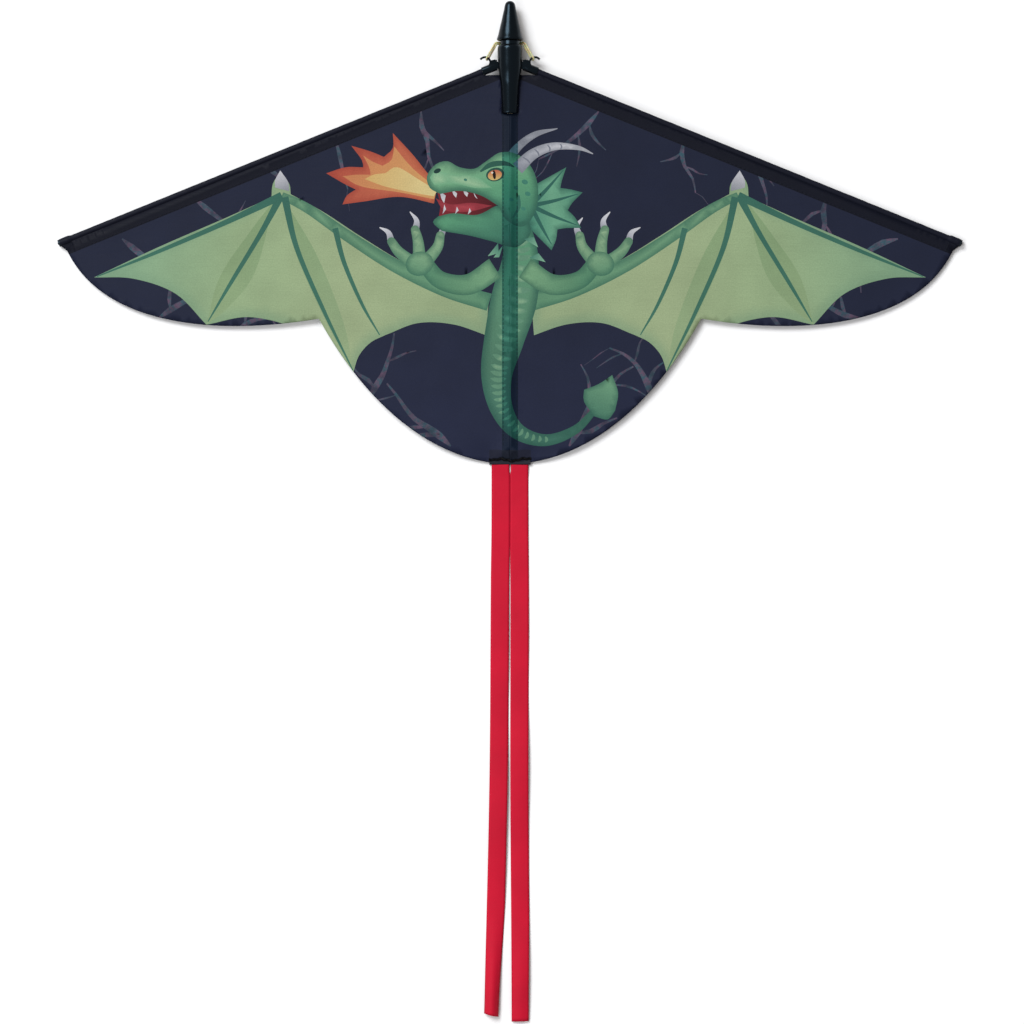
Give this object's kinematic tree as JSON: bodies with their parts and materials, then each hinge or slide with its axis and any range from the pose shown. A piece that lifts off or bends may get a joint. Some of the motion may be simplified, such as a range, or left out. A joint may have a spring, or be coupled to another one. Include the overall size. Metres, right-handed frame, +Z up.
{
  "type": "folding-wing glider kite",
  "caption": "Folding-wing glider kite with a soft nose cone, sprung leading edges, a printed cloth sail and ribbon tails.",
  "frame": {"origin": "on the ground under the middle of the kite's length and span", "axes": "+Y from the tail towards the nose, +X to the right wing, +Z up from the printed face"},
  "size_m": [0.6118, 0.689, 0.0178],
  "materials": {
    "nose_rubber": "glossy moulded soft rubber",
    "black_plastic": "glossy black moulding",
    "pin_steel": "drawn steel",
    "glass_rod": "pultruded glass fibre",
    "cap_vinyl": "dipped vinyl",
    "edge_cloth": "woven polyester, dark navy",
    "sail_cloth": "printed woven polyester, slightly translucent",
    "elastic": "pale translucent elastic",
    "patch_cloth": "heavy woven tape",
    "thread": "black sewing thread",
    "ribbon": "red woven ribbon"
  },
  "bodies": {
    "hub": {"nose_cone": "nose_rubber", "barrel_top": "black_plastic", "barrel_bottom": "black_plastic", "left_pivot_pin": "pin_steel", "right_pivot_pin": "pin_steel", "spine_rod": "glass_rod", "spine_cap": "cap_vinyl", "spine_pocket": "edge_cloth", "sail_left": "sail_cloth", "sail_right": "sail_cloth", "tail_patch": "patch_cloth", "tail_stitching": "thread", "left_band": "elastic", "right_band": "elastic"},
    "left_wing": {"left_arm": "black_plastic", "left_spar": "glass_rod", "left_spar_cap": "cap_vinyl", "left_edge_sleeve": "edge_cloth"},
    "right_wing": {"right_arm": "black_plastic", "right_spar": "glass_rod", "right_spar_cap": "cap_vinyl", "right_edge_sleeve": "edge_cloth"},
    "left_band_end": {"left_band_loop": "elastic"},
    "right_band_end": {"right_band_loop": "elastic"},
    "left_tail": {"left_streamer": "ribbon"},
    "right_tail": {"right_streamer": "ribbon"}
  },
  "joints": [
    {"name": "left_wing_fold", "type": "hinge", "parent": "hub", "child": "left_wing", "pos_m": [-0.005, 0.3023, 0.0082], "axis": [0, 0, 1], "range_deg": [0, 62], "stiffness_Nm_per_rad": 0.01, "springref_deg": -57.3, "deforming": ["sail_left", "left_band", "left_band_loop"]},
    {"name": "right_wing_fold", "type": "hinge", "parent": "hub", "child": "right_wing", "pos_m": [0.005, 0.3023, 0.0082], "axis": [0, 0, -1], "range_deg": [0, 62], "stiffness_Nm_per_rad": 0.01, "springref_deg": -57.3, "deforming": ["sail_right", "right_band", "right_band_loop"]},
    {"name": "left_band_stretch", "type": "slide", "parent": "hub", "child": "left_band_end", "axis": [0.177, -0.9842, 0], "range_m": [0, 0.01102]},
    {"name": "right_band_stretch", "type": "slide", "parent": "hub", "child": "right_band_end", "axis": [-0.177, -0.9842, 0], "range_m": [0, 0.01102]},
    {"name": "left_tail_lift", "type": "hinge", "parent": "hub", "child": "left_tail", "pos_m": [0, 0.0323, 0.0005], "axis": [-1, 0, 0], "range_deg": [0, 70]},
    {"name": "right_tail_lift", "type": "hinge", "parent": "hub", "child": "right_tail", "pos_m": [0, 0.0323, 0.0005], "axis": [-1, 0, 0], "range_deg": [0, 70]}
  ],
  "couplings": [
    {"joint": "left_band_stretch", "follows": "left_wing_fold", "m_per_rad": 0.010183},
    {"joint": "right_band_stretch", "follows": "right_wing_fold", "m_per_rad": 0.010183}
  ]
}
